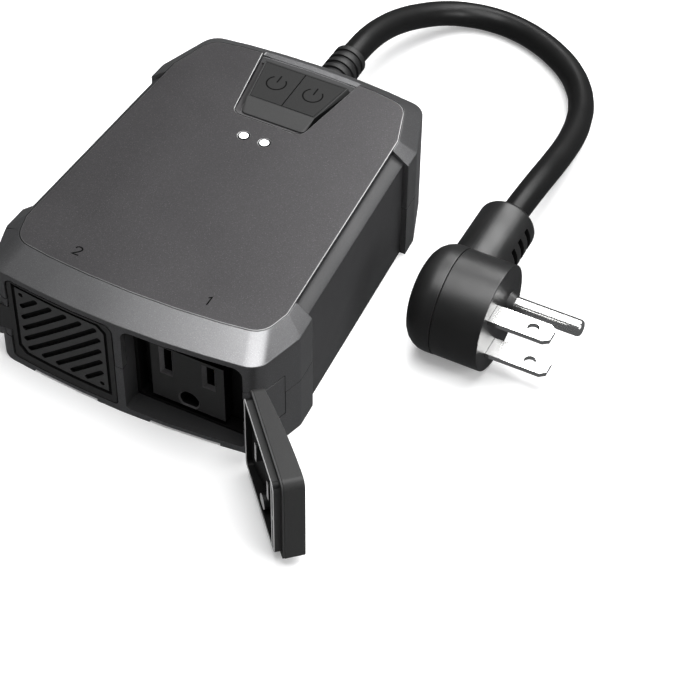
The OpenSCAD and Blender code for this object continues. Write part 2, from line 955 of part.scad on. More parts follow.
// Tube of radius r along a route that is nowhere parallel to ref, with one ring at each point
module tube(points, r, sides, ref) {
    n = len(points);
    rings = [
        for (i = [0:n - 1])
            let (
                t = unit(points[min(i + 1, n - 1)] - points[max(i - 1, 0)]),
                side = unit(cross(ref, t)),
                up = cross(t, side)
            )
            for (k = [0:sides - 1])
                points[i] + r * (cos(360 * k / sides) * side + sin(360 * k / sides) * up)
    ];
    faces = concat(
        [[for (k = [0:sides - 1]) k]],
        [for (i = [0:n - 2], k = [0:sides - 1])
            [
                i * sides + k, (i + 1) * sides + k,
                (i + 1) * sides + (k + 1) % sides, i * sides + (k + 1) % sides
            ]],
        [[for (k = [sides - 1:-1:0]) (n - 1) * sides + k]]
    );
    polyhedron(rings, faces, convexity = 4);
}

module line_wire() {
    color("#111111") tube([
        [-4.5, 49, 16.8], [-4.5, 47.5, 16.8], [-5.4, 44.5, 17], [-6.6, 40.5, 18], [-7.4, 36, 19.6],
        [-7.5, 33, 19.4], [-7.5, 32, 17.8], [-7.5, 32, 16.2]
    ], wire_r, 8, [1, 0, 0]);
}

module neutral_wire() {
    color("#e6e6e6") tube([
        [-0.5, 49, 16.8], [-0.5, 47.5, 16.8], [0.2, 44.5, 17], [1.2, 40.5, 18], [2.3, 36, 19.6],
        [2.5, 33, 19.4], [2.5, 32, 17.8], [2.5, 32, 16.2]
    ], wire_r, 8, [1, 0, 0]);
}

module ground_wire() {
    color("#2c8a3d") tube([
        [-2.5, 49, 19.2], [-2.5, 47.5, 19.2], [-2.5, 43, 20.4], [-2.4, 36, 22.6], [-2, 26, 24.6], [-1, 14, 25.6],
        [0, 2, 25.8], [0, -8, 25.4], [0, -16, 23], [0, -21.5, 18.5], [0, -25.4, 12.4], [0, -27.6, 9.2],
        [0, -29, 8.6], [0, block_y + leaf_t, 8.6]
    ], wire_r, 8, [1, 0, 0]);
}

// ---- Cord and plug ----

module strain_relief() {
    color(rubber_black) difference() {
        union() {
            rod_y(exit_x, exit_z, relief_r[0], [50.6, relief_y + relief_len], relief_r[1]);
            rod_y(exit_x, exit_z, flange_r, [50, 51.6]);
        }
        rod_y(exit_x, exit_z, cord_d / 2, [45, 90]);
        for (i = [0:6])
            difference() {
                rod_y(exit_x, exit_z, flange_r, span(relief_y + 3.4 + i * relief_rib[0], 0, relief_rib[1]));
                rod_y(exit_x, exit_z, relief_r[1] - 0.6, [50, 90]);
            }
    }
}

module cord() {
    color(part_black) tube(route, cord_d / 2, 12, [0, 0, 1]);
}

// Rounded back of the plug with the boss that holds the cord
module plug_body() {
    dome_r = plug_r + 0.1;
    edge = 6.5;
    color(part_black) difference() {
        union() {
            translate([plug_x[0], plug_y, plug_z]) rotate([0, 90, 0]) rotate_extrude($fn = 64) polygon(concat(
                [[0, plug_x[1] - plug_x[0]], [0, 0]],
                [for (a = [-90:15:0]) [dome_r - edge + edge * cos(a), edge + edge * sin(a)]],
                [[dome_r, plug_x[1] - plug_x[0]]]
            ));
            difference() {
                translate([boss_x, plug_y, plug_z]) rotate([-90, 0, 0]) rotate_extrude() polygon(concat(
                    [[0, 0], [boss_r[0], 0]],
                    [for (a = [0:22.5:90]) [boss_r[1] - boss_round, boss_end - plug_y - boss_round]
                        + boss_round * [cos(a), sin(a)]],
                    [[0, boss_end - plug_y]]
                ));
                rod_x(plug_y, plug_z, plug_r + 0.03, [plug_x[1], plug_x[2] + 1]);
            }
        }
        rod_y(boss_x, plug_z, cord_d / 2, [36.5, 60]);
        for (i = [0:2])
            bar([boss_x + 6, boss_x + 9], [26.5 + i * 4.4, 28.3 + i * 4.4], [plug_z - 4.4, plug_z + 4.4]);
    }
}

module plug_face() {
    color(part_black) difference() {
        rod_x(plug_y, plug_z, plug_r, [plug_x[1], plug_x[2]]);
        for (s = [-1, 1])
            bar([plug_x[1] + 4, plug_x[2] + 1], [blade_y - blade_w / 2, blade_y + blade_w / 2], blade_span(s));
        rod_x(blade_y + ground_drop, plug_z, shank_r, [plug_x[1] + 4, plug_x[2] + 1]);
    }
}

// Height range of the upper or lower blade
function blade_span(s) = [for (e = [-1, 1]) plug_z + s * blade_pitch / 2 + e * blade_t / 2];

module blade(s) {
    tip = plug_x[2] + blade_len;
    w = blade_w / 2;
    color(pin_metal) difference() {
        translate([0, 0, blade_span(s)[0]]) linear_extrude(blade_t) polygon([
            [plug_x[1] + 4, blade_y - w], [tip - 1.6, blade_y - w], [tip, blade_y - w + 1.2],
            [tip, blade_y + w - 1.2], [tip - 1.6, blade_y + w], [plug_x[1] + 4, blade_y + w]
        ]);
        rod([plug_x[2] + 11.6, blade_y], blade_hole_r, [0, 40]);
    }
}

// With the ground pin away from the viewer and the blades pointing right, line is the lower one
module blade_line() {
    blade(-1);
}

module blade_neutral() {
    blade(1);
}

module ground_pin() {
    tip = plug_x[2] + ground_len - ground_r;
    color(pin_metal) {
        rod_x(blade_y + ground_drop, plug_z, shank_r, [plug_x[1] + 4, plug_x[2] + 1]);
        rod_x(blade_y + ground_drop, plug_z, ground_r, [plug_x[2], tip]);
        translate([tip, blade_y + ground_drop, plug_z]) sphere(r = ground_r);
    }
}

lower_shell();
upper_shell();
shell_seal();
front_bezel();
rear_bezel();
top_plate();
case_screws();
keypad();
button_1();
button_2();
light_pipe_1();
light_pipe_2();
receptacle_1();
receptacle_2();
line_contact_1();
line_contact_2();
neutral_bus();
ground_bus();
door_1();
door_2();
door_grille_1();
door_grille_2();
door_gasket_1();
door_gasket_2();
blade_guard_1();
blade_guard_2();
hinge_bracket_1();
hinge_bracket_2();
hinge_pin_1();
hinge_pin_2();
circuit_board();
board_screws();
relay_1();
relay_2();
transformer();
bulk_capacitor();
filter_capacitor();
fuse();
wireless_module();
terminal_block();
key_board();
key_board_screws();
tact_switch_1();
tact_switch_2();
status_leds();
line_wire();
neutral_wire();
ground_wire();
strain_relief();
cord();
plug_body();
plug_face();
blade_line();
blade_neutral();
ground_pin();
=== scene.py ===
"""Looks of an outdoor dual-outlet smart plug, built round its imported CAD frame.

Lengths are in millimetres and turned into metres by mm() or MM, apart from the floor's and the
lights', which are in metres. +Z is up, the outlets face -Y, the cord leaves at +Y and the plug
lies on the +X side.
"""

import json
import math

import bmesh
import bpy
from mathutils import Matrix, Vector


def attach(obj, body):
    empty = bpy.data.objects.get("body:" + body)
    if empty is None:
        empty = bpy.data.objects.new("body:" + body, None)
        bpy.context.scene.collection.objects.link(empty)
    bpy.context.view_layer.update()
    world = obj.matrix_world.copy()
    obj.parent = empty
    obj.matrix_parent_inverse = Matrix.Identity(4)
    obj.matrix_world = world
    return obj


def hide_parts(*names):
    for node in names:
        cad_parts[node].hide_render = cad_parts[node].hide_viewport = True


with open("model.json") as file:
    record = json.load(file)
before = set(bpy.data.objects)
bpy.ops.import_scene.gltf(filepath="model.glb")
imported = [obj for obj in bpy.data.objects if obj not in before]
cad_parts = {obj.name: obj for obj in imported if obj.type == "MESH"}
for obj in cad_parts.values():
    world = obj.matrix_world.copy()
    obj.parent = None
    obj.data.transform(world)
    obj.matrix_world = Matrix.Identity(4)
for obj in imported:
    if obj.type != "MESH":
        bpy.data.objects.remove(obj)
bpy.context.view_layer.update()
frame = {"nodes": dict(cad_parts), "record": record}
bodies = frame["record"]["behaviour"]["bodies"]
body_of = {node: body for body, nodes in bodies.items() for node in nodes}
MM = 0.001


def mm(*values):
    return Vector(values) * MM


# ---- Camera ----

CAMERA_TARGET = (48.864, -27.0, 20.0)
CAMERA_DISTANCE = 578.15
# Azimuth, elevation and roll in degrees, then the lens and sensor width
CAMERA_TURN = (26.48, 47.478, 0.728)
LENS = 114.5
SENSOR = 36


def make_camera():
    """Camera that looks down at the front right corner."""
    target = mm(*CAMERA_TARGET)
    azimuth, elevation, roll = (math.radians(d) for d in CAMERA_TURN)
    distance = CAMERA_DISTANCE * MM
    right = Vector((math.cos(azimuth), math.sin(azimuth), 0))
    back = Vector((
        math.sin(azimuth) * math.cos(elevation),
        -math.cos(azimuth) * math.cos(elevation),
        math.sin(elevation),
    ))
    up = back.cross(right)
    x_axis = right * math.cos(roll) + up * math.sin(roll)
    y_axis = up * math.cos(roll) - right * math.sin(roll)
    data = bpy.data.cameras.new("camera")
    data.lens = LENS
    data.sensor_width = SENSOR
    data.clip_start = 0.01
    camera = bpy.data.objects.new("camera", data)
    bpy.context.scene.collection.objects.link(camera)
    turn = Matrix((x_axis, y_axis, back)).transposed().to_4x4()
    camera.matrix_world = Matrix.Translation(target + back * distance) @ turn
    bpy.context.scene.camera = camera


# ---- Materials ----


class Graph:
    """A material's nodes, with its shader and an object-space texture coordinate."""

    def __init__(self, name):
        self.material = bpy.data.materials.new(name)
        self.material.use_nodes = True
        self.tree = self.material.node_tree
        self.shader = self.tree.nodes["Principled BSDF"]
        self.place = self.tree.nodes.new("ShaderNodeTexCoord").outputs["Object"]

    def link(self, a, b):
        self.tree.links.new(a, b)

    def set(self, **values):
        for name, value in values.items():
            self.shader.inputs[name.replace("_", " ")].default_value = value

    def noise(self, size, detail=2.0, roughness=0.5, stretch=(1, 1, 1)):
        """Noise whose features are about size millimetres across."""
        mapping = self.tree.nodes.new("ShaderNodeMapping")
        mapping.inputs["Scale"].default_value = stretch
        self.link(self.place, mapping.inputs["Vector"])
        node = self.tree.nodes.new("ShaderNodeTexNoise")
        node.inputs["Scale"].default_value = 1 / (size * MM)
        node.inputs["Detail"].default_value = detail
        node.inputs["Roughness"].default_value = roughness
        self.link(mapping.outputs["Vector"], node.inputs["Vector"])
        return node.outputs["Fac"]

    def ramp(self, value, low, high, out_low, out_high):
        node = self.tree.nodes.new("ShaderNodeMapRange")
        node.inputs["From Min"].default_value = low
        node.inputs["From Max"].default_value = high
        node.inputs["To Min"].default_value = out_low
        node.inputs["To Max"].default_value = out_high
        self.link(value, node.inputs["Value"])
        return node.outputs["Result"]

    def mix(self, factor, a, b):
        """Mix of two colours; a may be another node's output."""
        node = self.tree.nodes.new("ShaderNodeMix")
        node.data_type = "RGBA"
        if isinstance(a, tuple):
            node.inputs["A"].default_value = (*a, 1)
        else:
            self.link(a, node.inputs["A"])
        node.inputs["B"].default_value = (*b, 1)
        self.link(factor, node.inputs["Factor"])
        return node.outputs["Result"]

    def bump(self, height, depth):
        """Bump whose full height is depth millimetres."""
        node = self.tree.nodes.new("ShaderNodeBump")
        node.inputs["Distance"].default_value = depth * MM
        node.inputs["Strength"].default_value = 1.0
        self.link(height, node.inputs["Height"])
        self.link(node.outputs["Normal"], self.shader.inputs["Normal"])


def scaled(colour, k):
    return tuple(c * k for c in colour)


# How far a moulded surface's colour wanders from its mean
MOTTLE = 0.12


def moulded(name, colour, rough, metal=0.0, grain=0.3, depth=0.01, specular=0.5, speck=0.0):
    """Moulded or painted surface with a fine grain, faint mottling and uneven gloss.

    grain is the grain's size and depth its height in millimetres, and speck how much brighter the
    scattered flakes are.
    """
    g = Graph(name)
    g.set(Metallic=metal, Specular_IOR_Level=specular)
    fine = g.noise(grain, 3.0, 0.6)
    broad = g.noise(22, 2.0)
    low, high = scaled(colour, 1 - MOTTLE), scaled(colour, 1 + MOTTLE)
    base = g.mix(g.ramp(fine, 0.3, 0.7, 0, 1), low, high)
    if speck:
        flakes = g.ramp(g.noise(grain * 0.8, 1.0), 0.62, 0.74, 0, 1)
        base = g.mix(flakes, base, scaled(colour, 1 + speck))
    g.link(base, g.shader.inputs["Base Color"])
    g.link(g.ramp(broad, 0.3, 0.7, rough * 0.9, rough * 1.1), g.shader.inputs["Roughness"])
    g.bump(fine, depth)
    return g.material


def rubber(name, colour, rough, sheen=0.0, specular=0.5):
    """Soft PVC or silicone: very fine mottle, with a faint sheen."""
    g = Graph(name)
    g.set(Specular_IOR_Level=specular, Sheen_Weight=sheen)
    fine = g.noise(0.5, 4.0, 0.6)
    g.link(g.mix(fine, scaled(colour, 0.85), scaled(colour, 1.15)), g.shader.inputs["Base Color"])
    g.link(g.ramp(g.noise(9, 2.0), 0.3, 0.7, rough * 0.88, rough * 1.12), g.shader.inputs["Roughness"])
    g.bump(fine, 0.008)
    return g.material


def bare_metal(name, colour, rough, stretch=(1, 1, 1)):
    """Plated or rolled metal with fine drawing lines."""
    g = Graph(name)
    g.set(Metallic=1.0)
    lines = g.noise(0.25, 2.0, 0.5, stretch)
    g.link(g.mix(lines, scaled(colour, 0.92), scaled(colour, 1.0)), g.shader.inputs["Base Color"])
    g.link(g.ramp(lines, 0.3, 0.7, rough * 0.8, rough * 1.25), g.shader.inputs["Roughness"])
    g.bump(lines, 0.0006)
    return g.material


def lit_lens(name):
    """Milky light pipe with its lamp on."""
    g = Graph(name)
    g.set(Specular_IOR_Level=0.5, Emission_Strength=0.9, Emission_Color=(1, 1, 1, 1))
    cloud = g.noise(0.8, 2.0)
    g.link(g.mix(cloud, (0.86, 0.87, 0.88), (0.93, 0.93, 0.93)), g.shader.inputs["Base Color"])
    g.link(g.ramp(cloud, 0.3, 0.7, 0.25, 0.35), g.shader.inputs["Roughness"])
    return g.material


def printed_board(name, colour):
    """Solder mask over a faint weave and tracks."""
    g = Graph(name)
    weave = g.noise(1.4, 1.0, 0.4, (1, 6, 1))
    g.link(g.mix(g.ramp(weave, 0.45, 0.55, 0, 1), colour, scaled(colour, 1.7)), g.shader.inputs["Base Color"])
    g.set(Roughness=0.35)
    g.bump(weave, 0.02)
    return g.material


SLOTS = {
    "shell_black": moulded("shell_black", (0.03, 0.03, 0.031), 0.45, grain=0.45, depth=0.012, specular=0.3),
    "bezel_grey": moulded(
        "bezel_grey", (0.16, 0.16, 0.163), 0.34, metal=0.85, grain=0.28, depth=0.006, speck=0.5,
    ),
    "plate_grey": moulded(
        "plate_grey", (0.058, 0.056, 0.058), 0.42, metal=0.75, grain=0.34, depth=0.012, speck=0.9,
    ),
    "key_black": moulded("key_black", (0.022, 0.022, 0.022), 0.55, grain=0.25, depth=0.006, specular=0.12),
    "soft_black": rubber("soft_black", (0.008, 0.008, 0.008), 0.5),
    "light_white": lit_lens("light_white"),
    "outlet_black": moulded(
        "outlet_black", (0.024, 0.024, 0.024), 0.5, grain=0.3, depth=0.008, specular=0.25,
    ),
    "contact_brass": bare_metal("contact_brass", (0.72, 0.55, 0.25), 0.3),
    "door_black": moulded("door_black", (0.022, 0.022, 0.022), 0.45, grain=0.4, depth=0.012, specular=0.25),
    "gasket_grey": rubber("gasket_grey", (0.022, 0.022, 0.022), 0.6),
    "screw_steel": bare_metal("screw_steel", (0.6, 0.6, 0.58), 0.32),
    "board_green": printed_board("board_green", (0.012, 0.09, 0.03)),
    "relay_blue": moulded("relay_blue", (0.02, 0.06, 0.3), 0.35, grain=0.5),
    "tape_yellow": moulded("tape_yellow", (0.65, 0.45, 0.06), 0.3, grain=0.8),
    "shield_tin": bare_metal("shield_tin", (0.62, 0.63, 0.64), 0.35),
    "terminal_green": moulded("terminal_green", (0.03, 0.2, 0.06), 0.4, grain=0.4),
    "wire_black": rubber("wire_black", (0.015, 0.015, 0.015), 0.4),
    "wire_white": rubber("wire_white", (0.75, 0.75, 0.73), 0.45),
    "wire_green": rubber("wire_green", (0.02, 0.22, 0.05), 0.45),
    "cord_black": rubber("cord_black", (0.005, 0.005, 0.005), 0.38, specular=0.25),
    "plug_black": rubber("plug_black", (0.007, 0.007, 0.007), 0.4, specular=0.6),
    "pin_nickel": bare_metal("pin_nickel", (0.8, 0.8, 0.79), 0.2, (1, 6, 6)),
}
# Painted shade: near-black inside slots, grooves, wells and gaps, darker than the plastic round them
painted_recess_shade = moulded("painted_recess_shade", (0.004, 0.004, 0.004), 0.7, grain=0.4, specular=0.1)
ink_black = moulded("ink_black", (0.002, 0.002, 0.002), 0.8, grain=0.2, depth=0.002, specular=0.05)
# Painted highlight: a grey lighter than the keys' black, on the keypad's sloped and bevelled faces
painted_ramp_highlight = moulded("painted_ramp_highlight", (0.036, 0.036, 0.036), 0.45, grain=0.25, depth=0.006, specular=0.25)
# Painted shade: near-black for the tub behind the outlets' faces and the insides of the doors
painted_inner_shade = moulded("painted_inner_shade", (0.005, 0.005, 0.005), 0.5, grain=0.3, depth=0.006, specular=0.2)
rim_pale = rubber("rim_pale", (0.36, 0.36, 0.36), 0.5, 0.1)
# Painted highlight: a bright metallic grey on the top plate's bevelled edges, standing in for light caught
# there
painted_edge_highlight = moulded("painted_edge_highlight", (0.2, 0.2, 0.2), 0.35, metal=0.9, grain=0.3, depth=0.004)
panel_satin = moulded("panel_satin", (0.034, 0.034, 0.034), 0.45, grain=0.4, depth=0.01, specular=0.3)
# On the keys' notch a plate-like grey finish, made lighter as a painted highlight because it faces up; on the
# outlets' lead-ins a painted highlight
funnel_grey_and_painted_highlight = moulded("funnel_grey_and_painted_highlight", (0.085, 0.083, 0.085), 0.5, metal=0.3, grain=0.3, depth=0.008, speck=0.5)

# Which finish each CAD node takes
NODE_SLOTS = {
    "shell_black": ["lower_shell", "upper_shell"],
    "bezel_grey": ["front_bezel", "rear_bezel", "hinge_bracket_1", "hinge_bracket_2"],
    "plate_grey": ["top_plate"],
    "key_black": ["button_1", "button_2", "keypad"],
    "soft_black": ["shell_seal", "strain_relief", "blade_guard_1", "blade_guard_2"],
    "light_white": ["light_pipe_1", "light_pipe_2", "status_leds"],
    "outlet_black": ["receptacle_1", "receptacle_2"],
    "contact_brass": ["line_contact_1", "line_contact_2", "neutral_bus", "ground_bus"],
    "door_black": ["door_1", "door_2", "door_grille_1", "door_grille_2"],
    "gasket_grey": ["door_gasket_1", "door_gasket_2"],
    "screw_steel": ["case_screws", "board_screws", "key_board_screws", "hinge_pin_1", "hinge_pin_2"],
    "board_green": ["circuit_board", "key_board"],
    "relay_blue": ["relay_1", "relay_2", "bulk_capacitor"],
    "tape_yellow": ["transformer", "filter_capacitor"],
    "shield_tin": ["wireless_module"],
    "terminal_green": ["terminal_block"],
    "wire_black": ["line_wire", "fuse", "tact_switch_1", "tact_switch_2"],
    "wire_white": ["neutral_wire"],
    "wire_green": ["ground_wire"],
    "cord_black": ["cord"],
    "plug_black": ["plug_body", "plug_face"],
    "pin_nickel": ["blade_line", "blade_neutral", "ground_pin"],
}
slot_of = {node: slot for slot, nodes in NODE_SLOTS.items() for node in nodes}


def paint_cad():
    """Gives every CAD node its finish, shown or not."""
    for node, obj in frame["nodes"].items():
        obj.data.materials.clear()
        obj.data.materials.append(SLOTS[slot_of[node]])


# ---- Mesh tools ----

CIRCLE_SIDES = 48
# Points closer than this, in metres, are one point
SAME_POINT = 2e-6


def link_mesh(name, mesh):
    obj = bpy.data.objects.new(name, mesh)
    bpy.context.scene.collection.objects.link(obj)
    return obj


def mesh_from(name, verts, faces):
    mesh = bpy.data.meshes.new(name)
    mesh.from_pydata([tuple(v) for v in verts], [], faces)
    return link_mesh(name, mesh)


def loft(name, rings, closed=False):
    """Solid through rings of points in the same order; closed joins the last to the first."""
    n = len(rings[0])
    verts = [p for ring in rings for p in ring]
    faces = []
    for i in range(len(rings) if closed else len(rings) - 1):
        j = (i + 1) % len(rings)
        faces += [(i * n + k, i * n + (k + 1) % n, j * n + (k + 1) % n, j * n + k) for k in range(n)]
    if not closed:
        faces += [tuple(reversed(range(n))), tuple(range((len(rings) - 1) * n, len(rings) * n))]
    obj = mesh_from(name, verts, faces)
    bm = bmesh.new()
    bm.from_mesh(obj.data)
    bmesh.ops.recalc_face_normals(bm, faces=bm.faces)
    bm.to_mesh(obj.data)
    bm.free()
    return obj


def circle_angles():
    return [2 * math.pi * k / CIRCLE_SIDES for k in range(CIRCLE_SIDES)]


def turned(name, y, z, profile):
    """Solid of revolution along X through (y, z), from (x, radius) pairs."""
    rings = [[mm(x, y + r * math.cos(a), z + r * math.sin(a)) for a in circle_angles()] for x, r in profile]
    return loft(name, rings)


def washer(name, centre, radii, z):
    """Flat ring about Z, between two radii and two heights."""
    corners = ((radii[0], z[0]), (radii[1], z[0]), (radii[1], z[1]), (radii[0], z[1]))
    rings = []
    for a in circle_angles():
        c, t = math.cos(a), math.sin(a)
        rings.append([mm(centre[0] + r * c, centre[1] + r * t, h) for r, h in corners])
    return loft(name, rings, True)


def ribbon(name, points, width, z):
    """Flat stroke of even width along (x, y) points, between two heights."""
    path = [Vector(p) for p in points]
    rings = []
    for i, p in enumerate(path):
        before = (p - path[max(i - 1, 0)]).normalized() if i else (path[1] - p).normalized()
        after = (path[i + 1] - p).normalized() if i < len(path) - 1 else before
        along = (before + after).normalized()
        side = Vector((-along.y, along.x)) * width / 2 / max(0.5, along.dot(before))
        corners = ((p - side, z[0]), (p + side, z[0]), (p + side, z[1]), (p - side, z[1]))
        rings.append([mm(*q, h) for q, h in corners])
    return loft(name, rings)


def joined(name, parts):
    """One object from several, which it takes over."""
    mesh = bpy.data.meshes.new(name)
    bm = bmesh.new()
    for part in parts:
        bm.from_mesh(part.data)
        bpy.data.objects.remove(part)
    bm.to_mesh(mesh)
    bm.free()
    return link_mesh(name, mesh)


def baked(obj):
    """The object's mesh with its modifiers applied, in place of both."""
    bpy.context.view_layer.update()
    graph = bpy.context.evaluated_depsgraph_get()
    mesh = bpy.data.meshes.new_from_object(obj.evaluated_get(graph))
    obj.modifiers.clear()
    old = obj.data
    obj.data = mesh
    bpy.data.meshes.remove(old)
    return obj


def carve(obj, cutters):
    """Cuts the cutters away from the object, and removes them."""
    for cutter in cutters:
        mod = obj.modifiers.new("carve", "BOOLEAN")
        mod.operation = "DIFFERENCE"
        mod.solver = "MANIFOLD"
        mod.object = cutter
        baked(obj)
        bpy.data.objects.remove(cutter)
    return obj


def tidy_faces(obj):
    """Joins coplanar faces and split points, and drops the old shading."""
    bm = bmesh.new()
    bm.from_mesh(obj.data)
    bmesh.ops.remove_doubles(bm, verts=bm.verts, dist=SAME_POINT)
    bmesh.ops.dissolve_degenerate(bm, edges=bm.edges, dist=SAME_POINT)
    bmesh.ops.dissolve_limit(bm, angle_limit=math.radians(0.6), verts=bm.verts, edges=bm.edges)
    bm.normal_update()
    clean = bpy.data.meshes.new(obj.name)
    bm.to_mesh(clean)
    bm.free()
    for name in ("custom_normal", "sharp_edge", "sharp_face"):
        if name in clean.attributes:
            clean.attributes.remove(clean.attributes[name])
    for slot in obj.data.materials:
        clean.materials.append(slot)
    obj.data = clean
    return obj


def soften(obj, width, angle=30):
    """Rounds edges sharper than angle, by width millimetres, and shades the rest smooth.

    A width of 0 leaves the edges as they are, for a mesh whose small steps a bevel would fold over.
    """
    if width:
        mod = obj.modifiers.new("edges", "BEVEL")
        mod.width = width * MM
        mod.segments = 2
        mod.limit_method = "ANGLE"
        mod.angle_limit = math.radians(angle)
        mod.use_clamp_overlap = False
        mod.miter_outer = "MITER_ARC"
        baked(obj)
    for face in obj.data.polygons:
        face.use_smooth = True
    obj.data.set_sharp_from_angle(angle=math.radians(35))
    normals = obj.modifiers.new("normals", "WEIGHTED_NORMAL")
    normals.keep_sharp = True
    return obj


def copied(node):
    """A new object with the CAD node's mesh."""
    return tidy_faces(link_mesh(node + "_detail", frame["nodes"][node].data.copy()))


def dress(obj, body, slot, material=None):
    """Gives a piece its finish, taken from its slot unless a material is given, and the body that it rides
    on.
    """
    obj.data.materials.clear()
    obj.data.materials.append(material or SLOTS[slot])
    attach(obj, body)
    return obj


def refined(node, width, angle=30, change=None):
    """A CAD node with its edges rounded, in place of the node; change alters its shape before that."""
    obj = copied(node)
    if change:
        change(obj)
    soften(obj, width, angle)
    dress(obj, body_of[node], slot_of[node])
    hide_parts(node)
    return obj


def repaint(obj, material, test):
    """Gives the faces whose centre passes the test another material."""
    obj.data.materials.append(material)
    index = len(obj.data.materials) - 1
    for face in obj.data.polygons:
        if test(face.center / MM, face.normal):
            face.material_index = index


# ---- Cord ----

CORD_ROUTE = [
    (-2.5, 49, 17.5), (-2.5, 58, 17.5), (-2.5, 67, 17.5), (-2.6, 76, 17.5), (-2.5, 85, 17.3),
    (-2.3, 93.5, 16.3), (-1.4, 102.2, 14.4), (0.5, 110.7, 11.9), (3.6, 118.6, 9.2), (8.1, 125.5, 6.8),
    (14.3, 130.4, 5), (22.1, 132.6, 4.2), (30.4, 132.2, 4), (38.5, 129.8, 4), (46, 126, 4),
    (52.5, 121.1, 4.1), (58, 114.6, 4.5), (62, 107.1, 5.3), (64.7, 98.5, 6.6), (66.3, 89.9, 8.3),
    (67.1, 81, 10.2), (67.4, 72, 12.1), (67.4, 63, 13.8), (67.2, 54.5, 14.8), (66.9, 46, 15.2),
    (66.9, 37, 15.2),
]
CORD_D = 7.8


def make_cord(with_pieces):
    curve = bpy.data.curves.new("cord_detail", "CURVE")
    curve.dimensions = "3D"
    curve.resolution_u = 6
    curve.bevel_depth = CORD_D / 2 * MM
    curve.bevel_resolution = 8
    curve.use_fill_caps = True
    spline = curve.splines.new("BEZIER")
    spline.bezier_points.add(len(CORD_ROUTE) - 1)
    for point, place in zip(spline.bezier_points, CORD_ROUTE):
        point.co = mm(*place)
        point.handle_left_type = "AUTO"
        point.handle_right_type = "AUTO"
    obj = bpy.data.objects.new("cord_detail", curve)
    bpy.context.scene.collection.objects.link(obj)
    curve.materials.append(SLOTS["cord_black"])
    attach(obj, "housing")
    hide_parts("cord")


# ---- Housing ----

BEZEL_Y = (-32, 30.5)
CORNER_X = 37
NOTCH_Y = 24
NOTCH_LOW = 34.9
NOTCH_HALF = 17
TOP_Z = 37.6
LIGHTS = ((3.2, 17.1), (-3.2, 17.1))
LIGHT_RING = (1.32, 1.62)
# Printed marks: how wide their strokes are, how far they stand proud and how deep they are sunk
STROKE = 0.42
PROUD = 0.015
SUNK = 0.1
# Strokes of the two digits, about 2 mm wide and 3 mm high, round their own centre
DIGITS = {
    "1": [[(-0.55, 0.85), (0.15, 1.5), (0.15, -1.5)]],
    "2": [[
        (-0.95, 0.75), (-0.82, 1.2), (-0.4, 1.47), (0.1, 1.5), (0.6, 1.33), (0.9, 0.95), (0.88, 0.5),
        (0.6, 0.05), (0.1, -0.45), (-0.5, -0.98), (-0.95, -1.38), (0.98, -1.38),
    ]],
}
DIGIT_AT = {"1": (19, -42), "2": (-20, -42)}


def printed(name, strokes, top, body):
    """Mark of (x, y) strokes, printed on a surface that lies at height top."""
    z = (top - SUNK, top + PROUD)
    mark = joined(name, [ribbon("stroke", points, STROKE, z) for points in strokes])
    dress(mark, body, "key_black", ink_black)


def painted_outside(centre, normal):
    """True on the lower shell's front and rear bands, outside the door openings."""
    if BEZEL_Y[0] < centre.y < BEZEL_Y[1] or abs(normal.z) > 0.6:
        return False
    return normal.y * centre.y > 0.5 * abs(centre.y) or abs(centre.x) > CORNER_X


def in_notch(centre, normal):
    """True on the upper shell's ledge in front of the keys."""
    return centre.z > NOTCH_LOW and centre.y > NOTCH_Y and abs(centre.x) < NOTCH_HALF


def make_housing():
    for node in ("front_bezel", "rear_bezel"):
        refined(node, 0.25, angle=16)
    plate = refined("top_plate", 0.3)
    # Painted highlight on the plate's bevelled edges
    repaint(plate, painted_edge_highlight, lambda c, n: 0.25 < n.z < 0.95)
    upper = refined("upper_shell", 0)
    # The notch takes a plate-like grey, lightened as a painted highlight
    repaint(upper, funnel_grey_and_painted_highlight, in_notch)
    lower = refined("lower_shell", 0)
    repaint(lower, SLOTS["bezel_grey"], painted_outside)
    for side in "12":
        refined("hinge_bracket_" + side, 0.2)
    refined("case_screws", 0.15)
    for digit, strokes in DIGITS.items():
        x, y = DIGIT_AT[digit]
        placed = [[(x + a, y + b) for a, b in points] for points in strokes]
        printed("digit_" + digit, placed, TOP_Z, "housing")
    for i, place in enumerate(LIGHTS):
        ring = washer(f"light_ring_{i + 1}", place, LIGHT_RING, (TOP_Z - 0.5, TOP_Z + 0.02))
        dress(ring, "housing", "key_black", ink_black)


# ---- Keys ----

KEY_TOP = 37.3
KEY_LOW = 36
KEY_SIDE = 7
KEY_FRONT = 34
KEY_REAR = 46
GAP_FILL = 0.17
ICON_X = 5.75
ICON_Y = 40.8
ICON_R = 2.8
# Front edge of the keypad's well, and how far the well and its flat middle reach sideways
WELL_Y = 33.2
WELL_HALF = 13
RAMP_HALF = 10.5


def fill_gap(obj):
    """Widens the key's cap, so that only a hairline is left round it."""
    for vert in obj.data.vertices:
        x, y, z = vert.co / MM
        if z > KEY_LOW:
            if abs(x) > KEY_SIDE:
                x += math.copysign(GAP_FILL, x)
            if y < KEY_FRONT:
                y -= GAP_FILL
            elif y > KEY_REAR:
                y += GAP_FILL
            vert.co = mm(x, y, z)


def in_well(centre, normal):
    inside = abs(centre.x) < WELL_HALF and centre.y > WELL_Y
    return inside and centre.z < KEY_TOP - 0.1 and normal.z > -0.5


def on_ramp(centre, normal):
    return 0.3 < normal.z < 0.99 and (centre.y < WELL_Y or abs(centre.x) > RAMP_HALF)


